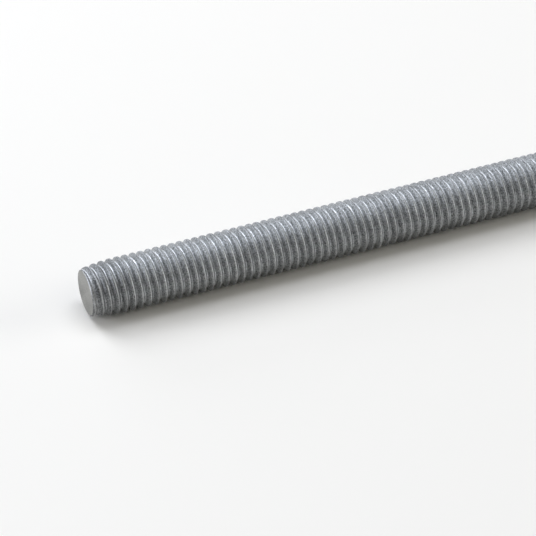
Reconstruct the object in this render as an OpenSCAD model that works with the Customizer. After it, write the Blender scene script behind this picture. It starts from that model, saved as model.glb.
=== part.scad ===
// Threaded rod: one bar of mild steel, thread-rolled over its full length and then hot-dip galvanised.
// A single right-hand thread runs from end face to end face. Towards both ends its crests fade
// down to the flat end face, so that a nut can be started by hand from either side.
// The rod lies along +X with the centre of its near end face at the origin.

/* [Rod] */
// Length from end face to end face
rod_length = 150; // [110:1:190]
// Outside diameter over the thread crests, zinc included
crest_diameter = 11.8; // [9.5:0.05:14.5]
// Diameter of the flat face at each end
end_diameter = 10.2; // [9.7:0.05:11.2]

/* [Thread] */
// Distance along the rod from one crest to the next
pitch = 1.75; // [1.25:0.05:2.2]
// Width along the rod of the flat on top of each crest
crest_width = 0.45; // [0.2:0.01:0.6]
// Angle between the two flanks of the groove
flank_angle = 60; // [50:1:70]
// Length along the rod over which the crests fade towards each end face
fade_length = 7.4; // [3:0.1:12]
// Angle about the rod, from +Y towards +Z, at which the first crest meets the near end face
start_angle = 165; // [0:15:345]

/* [Hidden] */

zinc_grey = [0.56, 0.58, 0.59];
crest_r = crest_diameter / 2;
end_r = end_diameter / 2;
flank_run = (pitch - crest_width) / 2;
root_r = crest_r - flank_run / tan(flank_angle / 2);

// The skin is a net of steps round each turn by corners along each pitch, so the number of steps
// in a turn follows from the facets that the whole rod may have. It stays a multiple of 4, which
// keeps the rod's full width along Y and Z.
facet_budget = 12600;
corner_x = [-crest_width / 2, crest_width / 2, pitch / 2];
corners = len(corner_x);
turns = rod_length / pitch;
steps = 4 * floor(facet_budget / (8 * corners * (turns + 1)));
rows = corners * (ceil(turns) + 3);

// How far the thread has advanced along the rod at a step of the turn.
function lead(i) = pitch * (i / steps - start_angle / 360);

// Radius of the endless thread at a distance x from the middle of a crest.
function thread_r(x) =
  let (off = abs(x - pitch * round(x / pitch)))
  lookup(off, [[crest_width / 2, crest_r], [pitch / 2, root_r]]);

// Largest radius that the fading ends leave at x: a curve that runs out smoothly into the crests.
function end_limit(x) =
  let (left = max(0, 1 - min(x, rod_length - x) / fade_length))
  crest_r - (crest_r - end_r) * left * left;

// Where corner row k crosses step i, before the rod is cut to length.
function row_x(i, k) = pitch * (floor(k / corners) - 1) + corner_x[k % corners] + lead(i);

// Point of the skin there, with rows beyond an end face brought back onto its rim.
function skin_point(i, k) =
  let (
    x = min(max(row_x(i, k), 0), rod_length),
    r = min(thread_r(x - lead(i)), end_limit(x)),
    a = 360 * i / steps
  )
  [x, r * cos(a), r * sin(a)];

// The last row on or before the near end face, and the first on or past the far one.
function near_row(i) = max([for (k = [0 : 3 * corners]) if (row_x(i, k) <= 0) k]);
function far_row(i) = min([for (k = [rows - 4 * corners : rows - 1]) if (row_x(i, k) >= rod_length) k]);

module threaded_rod() {
  near_rim = [for (i = [0 : steps - 1]) near_row(i)];
  far_rim = [for (i = [0 : steps - 1]) far_row(i)];
  near_middle = steps * rows;
  far_middle = near_middle + 1;

  // After a full turn the net meets itself one pitch further on, which makes it a helix.
  function at(i, k) =
    let (s = i % steps, row = i < steps ? k : k + corners)
    s * rows + min(max(row, near_rim[s]), far_rim[s]);

  points = concat(
    [for (i = [0 : steps - 1], k = [0 : rows - 1]) skin_point(i, k)],
    [[0, 0, 0], [rod_length, 0, 0]]
  );
  skin = [
    for (i = [0 : steps - 1], k = [0 : rows - 2])
      let (a = at(i, k), b = at(i, k + 1), c = at(i + 1, k + 1), d = at(i + 1, k))
        for (facet = [[a, b, c], [a, c, d]])
          if (facet[0] != facet[1] && facet[1] != facet[2] && facet[2] != facet[0]) facet
  ];
  end_faces = [
    for (i = [0 : steps - 1])
      each [[near_middle, at(i, 0), at(i + 1, 0)], [far_middle, at(i + 1, rows), at(i, rows)]]
  ];
  color(zinc_grey) polyhedron(points, concat(skin, end_faces), convexity = 20);
}

threaded_rod();
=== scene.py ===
import math

import bpy
import numpy as np
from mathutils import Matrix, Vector


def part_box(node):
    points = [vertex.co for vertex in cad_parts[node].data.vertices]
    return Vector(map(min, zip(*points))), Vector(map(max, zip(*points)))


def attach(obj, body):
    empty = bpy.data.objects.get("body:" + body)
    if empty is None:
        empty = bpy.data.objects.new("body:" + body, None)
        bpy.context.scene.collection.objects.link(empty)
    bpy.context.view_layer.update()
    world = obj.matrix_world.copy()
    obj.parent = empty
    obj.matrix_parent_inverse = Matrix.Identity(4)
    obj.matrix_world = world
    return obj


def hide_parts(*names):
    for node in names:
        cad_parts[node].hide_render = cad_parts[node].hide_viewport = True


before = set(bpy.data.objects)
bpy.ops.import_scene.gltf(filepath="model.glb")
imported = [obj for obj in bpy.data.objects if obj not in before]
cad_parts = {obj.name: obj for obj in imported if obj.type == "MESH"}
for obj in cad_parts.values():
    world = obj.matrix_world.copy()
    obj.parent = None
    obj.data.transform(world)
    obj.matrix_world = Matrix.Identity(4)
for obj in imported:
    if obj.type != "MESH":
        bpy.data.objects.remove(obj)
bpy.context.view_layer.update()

# ---------------------------------------------------------------------------------------------
# The rod. One bar of mild steel, rolled between dies so that a right-hand thread runs from end
# to end, cut to length with its end threads faded, and dipped whole in molten zinc. The zinc
# rounds the crests and roots, and leaves each turn a little fuller or leaner than the next.
# ---------------------------------------------------------------------------------------------
MM = 0.001
low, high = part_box("threaded_rod")
length = high.x - low.x
crest_r = (high.z - low.z) / 2
pitch = 1.75 * MM
turns = length / pitch
start_turn = 165 / 360               # where round the rod the first crest meets the near end
crest_width = 0.25 * MM
width_swing = 0.3                    # share by which the crest's width comes and goes
flank_angle = math.radians(60)
groove = 1.0 * MM                    # how deep the groove is, with the zinc that lies in it
groove_swing = 0.03 * MM
crest_round = 0.07 * MM              # how far the zinc softens the crest's corners
crest_lift = 0.4                     # share of that rounding by which the crest is filled up again
root_round = 0.30 * MM               # how far the zinc softens the bottom of the groove
seam_depth = 0.03 * MM               # the fine seam where the lips that the dies raise have met
seam_width = 0.06 * MM
seam_share = 0.3                     # how much of the seam stands open on the whole
seam_swing = 0.9
lean_depth = 0.05 * MM               # how far the leanest turn falls short of full height
end_r = 5.1 * MM                     # radius to which the crests have faded at an end face
fade_length = 7.4 * MM
fade_round = 0.25 * MM               # how softly a faded crest runs into its flanks
off_centre = 0.15 * MM               # the ends were cropped a little to one side
rim_round = 0.20 * MM                # the cut edge, with the zinc over it
steps = 48                           # facets in one turn
disc_rings = [0.9, 0.6, 0.3]         # rings of an end face, as shares of its radius

# Places across one pitch where the skin has a row, closest together over the crest and the root.
half_rows = np.array([0, 0.06, 0.11, 0.16, 0.28, 0.42, 0.54, 0.63, 0.70, 0.77, 0.84]) * MM
rows_x = np.concatenate([-half_rows[:0:-1], half_rows])
rows = len(rows_x)


def curve(t, knots, seed):
    """A smooth random line within 1 either way of 0, with that many knots in each turn."""
    spare = 4                                 # turns of it before the near end and past the far one
    values = np.random.default_rng(seed).uniform(-1, 1, int((turns + 2 * spare) * knots) + 4)
    at = (t + spare) * knots
    i = np.floor(at).astype(int)
    f = at - i
    f = f * f * (3 - 2 * f)
    return values[i] * (1 - f) + values[i + 1] * f


def soft_max(a, b, k):
    """The larger of a and b, with the corner between them rounded over a width of about k."""
    return (a + b + np.sqrt((a - b) ** 2 + k * k)) / 2


def rod_radius(x, turn):
    """Distance from the axis to the skin at x, at that fraction of a turn round the rod."""
    along = x / pitch - (turn - start_turn)
    crest_no = np.round(along)
    off = np.abs(along - crest_no) * pitch
    t = crest_no + turn                       # how far along the thread, in turns
    width = crest_width * (1 + width_swing * curve(t, knots=2.5, seed=1))
    depth = (off - width / 2) / math.tan(flank_angle / 2)
    depth = soft_max(depth, 0, crest_round) - crest_round * crest_lift
    bottom = groove + groove_swing * curve(t, knots=1.7, seed=2)
    depth = -soft_max(-depth, -bottom, root_round)
    seam = seam_depth * np.clip(seam_share + seam_swing * curve(t, knots=3, seed=3), 0, 1)
    depth = depth + seam * np.exp(-(off / seam_width) ** 2)
    # long waves come from the dies, and short ones from the zinc
    lean = lean_depth * (curve(t, knots=1.3, seed=4) * 0.6 + curve(t, knots=5, seed=5) * 0.4)
    depth = np.maximum(depth, 0) + np.maximum(lean, 0)
    to_end = np.minimum(x, length - x)
    left = np.maximum(0, 1 - to_end / fade_length)
    short = (crest_r - end_r) * left ** 2 - off_centre * left * np.cos(2 * math.pi * turn)
    short = np.maximum(short, 0)
    r = crest_r - np.maximum(soft_max(depth, short, np.minimum(fade_round, short)), short)
    inside = np.clip(1 - to_end / rim_round, 0, 1)
    return r - rim_round * (1 - np.sqrt(1 - inside ** 2))


# A net of steps round each turn by rows along the rod, where each step round leads the thread on.
# Rows beyond an end face are brought back onto its rim.
spare_crests = 3
count = int(math.ceil(turns)) + spare_crests
column = np.arange(steps)
raw_x = ((np.arange(count) - 1)[None, :, None] * pitch + rows_x[None, None, :]
         + (column / steps + 1 - start_turn)[:, None, None] * pitch - pitch).reshape(steps, -1)
near_row = (raw_x <= 0).sum(1) - 1
far_row = (raw_x < length).sum(1)
x = np.clip(raw_x, 0, length)
turn = np.repeat((column / steps)[:, None], x.shape[1], 1)
r = rod_radius(x, turn)
angle = 2 * math.pi * turn
skin = np.stack([x, r * np.cos(angle), r * np.sin(angle)], 2).reshape(-1, 3)


def at(i, k):
    """Number of the skin's point at step i, row k; one turn on, the rows match a pitch later."""
    i, k = np.broadcast_arrays(i, k)
    k = np.where(i == steps, k + rows, k)
    i = i % steps
    return i * x.shape[1] + np.clip(k, near_row[i], far_row[i])


def end_disc(rim, centre_x, first_no):
    """Points and faces of one flat end face, in rings from the rim to its centre, that look to +X."""
    points, faces, outer = [], [], rim
    for n, share in enumerate(disc_rings):
        new = first_no + n * steps + column
        points.append(np.stack([np.full(steps, centre_x), skin[rim, 1] * share, skin[rim, 2] * share], 1))
        faces += [[outer[j], outer[(j + 1) % steps], new[(j + 1) % steps], new[j]] for j in column]
        outer = new
    points.append(np.array([[centre_x, 0, 0]]))
    middle = first_no + len(disc_rings) * steps
    faces += [[outer[j], outer[(j + 1) % steps], middle] for j in column]
    return np.concatenate(points), faces


i, k = np.meshgrid(column, np.arange(x.shape[1]), indexing="ij")
quads = np.stack([at(i, k), at(i + 1, k), at(i + 1, k + 1), at(i, k + 1)], 2).reshape(-1, 4)
near_rim = near_row + column * x.shape[1]
far_rim = far_row + column * x.shape[1]
near_points, near_faces = end_disc(near_rim, 0, len(skin))
far_points, far_faces = end_disc(far_rim, length, len(skin) + len(near_points))
points = np.concatenate([skin, near_points, far_points])

# Quads that the rims have squeezed lose the corners that fell together, or go altogether.
faces = []
for quad in quads.tolist():
    corners = [p for n, p in enumerate(quad) if p != quad[n - 1]]
    if len(set(corners)) == len(corners) and len(corners) > 2:
        faces.append(corners)
sides = len(faces)
faces += [face[::-1] for face in near_faces] + far_faces
used = np.unique(np.concatenate([np.array(face) for face in faces]))
number = np.full(len(points), -1)
number[used] = np.arange(len(used))
faces = [[int(number[p]) for p in face] for face in faces]

mesh = bpy.data.meshes.new("threaded_rod_galvanised")
mesh.from_pydata(points[used].tolist(), [], faces)
mesh.update()
for n, face in enumerate(mesh.polygons):
    face.use_smooth = n < sides
    face.material_index = 0 if n < sides else 1
rod = bpy.data.objects.new("rolled_rod", mesh)
bpy.context.scene.collection.objects.link(rod)

grain_size = 0.30 * MM               # real zinc crystals are finer; these are as coarse as will show
grain_depth = 0.04 * MM
patch_size = 3 * MM                  # where the zinc cooled a little sooner or later
noise_low, noise_high = 0.3, 0.7     # nearly all of a noise's values lie between these
patch_drift = 0.08                   # how far patches of zinc ran on along the thread, in pitches
drain_shift = 0.04                   # and how far all of it did, before it set
bright, brightest = 0.36, 0.66       # linear tones over which the grain's swing dies down
calm_share = 0.4                     # how much of the swing is left in the brightest
pool_edge, pool_full = 0.36, 0.44    # how far from the crest the pooled zinc begins, in pitches
end_shade_length = 11 * MM                # the tone gets a painted shade this far in from each end
root_highlight_low, root_highlight_high = 0.3, 0.7       # heights, in crest radii, over which the root there turns to a painted highlight
painted_shade_low, painted_shade_high = -0.2, 0.6      # heights, in crest radii, from the low side to the top side of the painted shade
low_tone, top_tone = 0.82, 1.03      # what the tone is multiplied by on each of those sides: painted shade low, painted light on top
cloudiness = 0.12                    # how far a patch is lighter or darker than the rest


def linear(hex_colour):
    """A colour written as sRGB hex, as the linear values that a shader takes."""
    parts = [int(hex_colour[n:n + 2], 16) / 255 for n in (1, 3, 5)]
    return tuple(c / 12.92 if c <= 0.04045 else ((c + 0.055) / 1.055) ** 2.4 for c in parts) + (1,)


def add(tree, kind, inputs, **settings):
    """One node, with its settings, and each of its inputs as a fixed value or a link.

    A node that is given as an input stands for its first output.
    """
    node = tree.nodes.new(kind)
    for name, value in settings.items():
        setattr(node, name, value)
    for socket, value in inputs.items():
        if isinstance(value, bpy.types.Node):
            value = value.outputs[0]
        if isinstance(value, bpy.types.NodeSocket):
            tree.links.new(value, node.inputs[socket])
        else:
            node.inputs[socket].default_value = value
    return node


def dipped_zinc(name, tones, metallic, roughness, pooled_roughness, contrast, end_share):
    """Hot-dip zinc, cooled in air: a fine matt grain of crystals, cloudy from patch to patch.

    tones are pairs of a place, as a share of the way from one root over the crest to the next,
    and the colour there: the zinc's own tone, with painted highlights and painted shade laid in.
    pooled_roughness is that of the smooth zinc which pools in the root. contrast is how far the
    grain swings about the tone. end_share is what is left of the tone at the end faces.
    """
    zinc = bpy.data.materials.new(name)
    zinc.use_nodes = True
    tree = zinc.node_tree
    surface = tree.nodes["Principled BSDF"]
    surface.inputs["Metallic"].default_value = metallic
    surface.inputs["Roughness"].default_value = roughness
    place = add(tree, "ShaderNodeTexCoord", {}).outputs["Object"]
    grain = add(tree, "ShaderNodeTexNoise", {"Vector": place, "Scale": 1 / grain_size, "Detail": 2.0})
    patches = add(tree, "ShaderNodeTexNoise", {"Vector": place, "Scale": 1 / patch_size, "Detail": 3.0})
    relief = add(tree, "ShaderNodeBump", {"Height": grain, "Strength": 1.0, "Distance": grain_depth})
    tree.links.new(relief.outputs["Normal"], surface.inputs["Normal"])

    # How far each place is from the root behind it, along the thread's own helix, in pitches.
    across = add(tree, "ShaderNodeSeparateXYZ", {0: place}).outputs
    angle = add(tree, "ShaderNodeMath", {0: across["Z"], 1: across["Y"]}, operation="ARCTAN2")
    turned = add(tree, "ShaderNodeMath", {0: angle, 1: 1 / (2 * math.pi)}, operation="MULTIPLY")
    pitches = add(tree, "ShaderNodeMath", {0: across["X"], 1: 1 / pitch}, operation="MULTIPLY")
    along = add(tree, "ShaderNodeMath", {0: pitches, 1: turned}, operation="SUBTRACT")
    drift = add(tree, "ShaderNodeMath", {0: patches, 1: patch_drift}, operation="MULTIPLY")
    run = add(tree, "ShaderNodeMath", {0: along, 1: drift}, operation="ADD")
    from_first = add(tree, "ShaderNodeMath", {0: run, 1: start_turn + 0.5 - drain_shift}, operation="ADD")
    from_root = add(tree, "ShaderNodeMath", {0: from_first}, operation="FRACT")
    past_crest = add(tree, "ShaderNodeMath", {0: from_root, 1: 0.5}, operation="SUBTRACT")
    from_crest = add(tree, "ShaderNodeMath", {0: past_crest}, operation="ABSOLUTE")
    pooled = add(tree, "ShaderNodeMapRange", {
        "Value": from_crest, "From Min": pool_edge, "From Max": pool_full})

    tone = add(tree, "ShaderNodeValToRGB", {"Fac": from_root})
    for n, (share, colour) in enumerate(tones):
        stop = tone.color_ramp.elements[n] if n < 2 else tone.color_ramp.elements.new(share)
        stop.position, stop.color = share, linear(colour)

    # The grain is calmer where the tone is painted brightest, on the painted highlights.
    flecks = add(tree, "ShaderNodeMapRange", {
        "Value": grain, "From Min": noise_low, "From Max": noise_high, "To Min": -1.0, "To Max": 1.0})
    swing = add(tree, "ShaderNodeMapRange", {
        "Value": tone, "From Min": bright, "From Max": brightest,
        "To Min": contrast, "To Max": calm_share * contrast})
    speckle = add(tree, "ShaderNodeMath", {0: flecks, 1: swing, 2: 1.0}, operation="MULTIPLY_ADD")

    # Near the ends the tone gets a painted shade, but the root keeps its painted highlight on the top
    # side.
    from_far = add(tree, "ShaderNodeMath", {0: length, 1: across["X"]}, operation="SUBTRACT")
    to_end = add(tree, "ShaderNodeMath", {0: across["X"], 1: from_far}, operation="MINIMUM")
    end_painted_shade = add(tree, "ShaderNodeMapRange", {
        "Value": to_end, "From Max": end_shade_length, "To Min": end_share})
    above = add(tree, "ShaderNodeMapRange", {
        "Value": across["Z"], "From Min": root_highlight_low * crest_r, "From Max": root_highlight_high * crest_r})
    top_root_highlight = add(tree, "ShaderNodeMath", {0: pooled, 1: above}, operation="MULTIPLY")
    ends = add(tree, "ShaderNodeMath", {0: end_painted_shade, 1: top_root_highlight}, operation="MAXIMUM")

    # Patches are clouded, and a painted shade darkens the low side and lightens the top a little.
    cloud = add(tree, "ShaderNodeMapRange", {
        "Value": patches, "From Min": noise_low, "From Max": noise_high,
        "To Min": 1 - cloudiness, "To Max": 1 + cloudiness})
    painted_underside_shade = add(tree, "ShaderNodeMapRange", {
        "Value": across["Z"], "From Min": painted_shade_low * crest_r, "From Max": painted_shade_high * crest_r,
        "To Min": low_tone, "To Max": top_tone})
    shade = speckle
    for other in (ends, cloud, painted_underside_shade):
        shade = add(tree, "ShaderNodeMath", {0: shade, 1: other}, operation="MULTIPLY")
    colour = add(tree, "ShaderNodeVectorMath", {0: tone, "Scale": shade}, operation="SCALE")
    tree.links.new(colour.outputs["Vector"], surface.inputs["Base Color"])

    if pooled_roughness != roughness:
        gloss = add(tree, "ShaderNodeMapRange", {
            "Value": pooled, "To Min": roughness, "To Max": pooled_roughness})
        tree.links.new(gloss.outputs["Result"], surface.inputs["Roughness"])
    return zinc


# Hot-dip zinc on a rolled thread. Its tone carries a painted highlight in the root, where the zinc
# also pooled smooth, another on the second flank, and painted shade over the crest and the first flank.
# It has begun to weather to a skin that isn't metal, so it is a little short of fully metallic.
mesh.materials.append(dipped_zinc(
    "hot_dip_zinc_on_rolled_thread",
    [(0.0, "#d4d6d8"), (1.0, "#d4d6d8"),                        # the root, at both ends of the way: a painted highlight
     (0.12, "#a4a6a7"), (0.22, "#9ea0a1"), (0.36, "#949697"),   # up the first flank, in painted shade
     (0.54, "#939596"), (0.59, "#e9ebec"),                      # over the crest, in painted shade, then a painted highlight
     (0.74, "#dadcdd"), (0.84, "#a0a2a3")],                     # down the second flank, the painted highlight fading
    metallic=0.75, roughness=0.52, pooled_roughness=0.46, contrast=0.68, end_share=0.56))
# Hot-dip zinc on a cropped end: thin, even and matt over the torn steel, a little warmer in tone.
mesh.materials.append(dipped_zinc(
    "hot_dip_zinc_on_cut_end",
    [(0.0, "#94938e"), (1.0, "#94938e")],
    metallic=0.6, roughness=0.7, pooled_roughness=0.7, contrast=0.15, end_share=1.0))
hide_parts("threaded_rod")
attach(rod, "root")

# ---------------------------------------------------------------------------------------------
# The floor. A wide sheet painted matt white, on which the rod rests along its lowest crests.
# It isn't part of the object.
# ---------------------------------------------------------------------------------------------
floor_half = 3.0
floor_mesh = bpy.data.meshes.new("floor")
floor_mesh.from_pydata(
    [(-floor_half, -floor_half, 0), (floor_half, -floor_half, 0),
     (floor_half, floor_half, 0), (-floor_half, floor_half, 0)], [], [(0, 1, 2, 3)])
floor = bpy.data.objects.new("floor", floor_mesh)
floor.location.z = -crest_r
bpy.context.scene.collection.objects.link(floor)
paint = bpy.data.materials.new("matt_white_floor_paint")
paint.use_nodes = True
painted = paint.node_tree.nodes["Principled BSDF"]
painted.inputs["Base Color"].default_value = linear("#f8f5ee")
painted.inputs["Roughness"].default_value = 0.9
floor_mesh.materials.append(paint)

# ---------------------------------------------------------------------------------------------
# Studio light. Six large softboxes round the middle of the rod, cool from above and behind and
# neutral from the front, and a faint even light from the room.
# ---------------------------------------------------------------------------------------------
world = bpy.data.worlds.new("studio")
bpy.context.scene.world = world
world.use_nodes = True
room = world.node_tree.nodes["Background"]
room.inputs["Color"].default_value = linear("#fffefa")
room.inputs["Strength"].default_value = 0.03

lit_place = Vector((0.05, 0, 0))
lamp_distance = 1.6
cool, neutral = "#f2f6ff", "#fffef9"


def direction(azimuth, elevation):
    """Unit vector from a target towards a lamp or camera; azimuth 0 is in front, at -Y."""
    a, e = math.radians(azimuth), math.radians(elevation)
    return Vector((math.sin(a) * math.cos(e), -math.cos(a) * math.cos(e), math.sin(e)))


# name, azimuth and elevation in degrees, width and height in metres, watts, colour
for name, azimuth, elevation, width, height, power, colour in [
        ("overhead", 120, 75, 0.9, 0.9, 9.5, cool),
        ("behind_high", 210, 45, 0.9, 0.9, 15.5, cool),
        ("behind_low", 190, 15, 1.4, 0.6, 6.0, cool),
        ("near_end", 258, 15, 0.9, 0.9, 17.0, cool),
        ("far_side", 75, 15, 0.9, 0.9, 8.5, neutral),
        ("front", 30, 50, 0.9, 0.9, 2.4, neutral)]:
    lamp = bpy.data.lights.new(name, "AREA")
    lamp.shape = "RECTANGLE"
    lamp.size, lamp.size_y, lamp.energy, lamp.color = width, height, power, linear(colour)[:3]
    softbox = bpy.data.objects.new(name, lamp)
    back = direction(azimuth, elevation)
    softbox.location = lit_place + back * lamp_distance
    softbox.rotation_mode = "QUATERNION"
    softbox.rotation_quaternion = back.to_track_quat("Z", "Y")
    bpy.context.scene.collection.objects.link(softbox)

# ---------------------------------------------------------------------------------------------
# The camera. A long lens looks down on the near end from the front left, and the far end runs
# out of view to the right.
# ---------------------------------------------------------------------------------------------
lens = bpy.data.cameras.new("camera")
camera = bpy.data.objects.new("camera", lens)
bpy.context.scene.collection.objects.link(camera)
target = Vector((0.0411, -0.00002, -0.0056))
camera_distance = 0.6415
back = direction(azimuth=-22.11, elevation=38.53)
camera.location = target + back * camera_distance
camera.rotation_mode = "QUATERNION"
camera.rotation_quaternion = (-back).to_track_quat("-Z", "Y")
lens.sensor_width, lens.lens = 36, 201.5
lens.clip_start, lens.clip_end = 0.01, 20
bpy.context.scene.camera = camera
bpy.context.scene.view_settings.view_transform = "Standard"
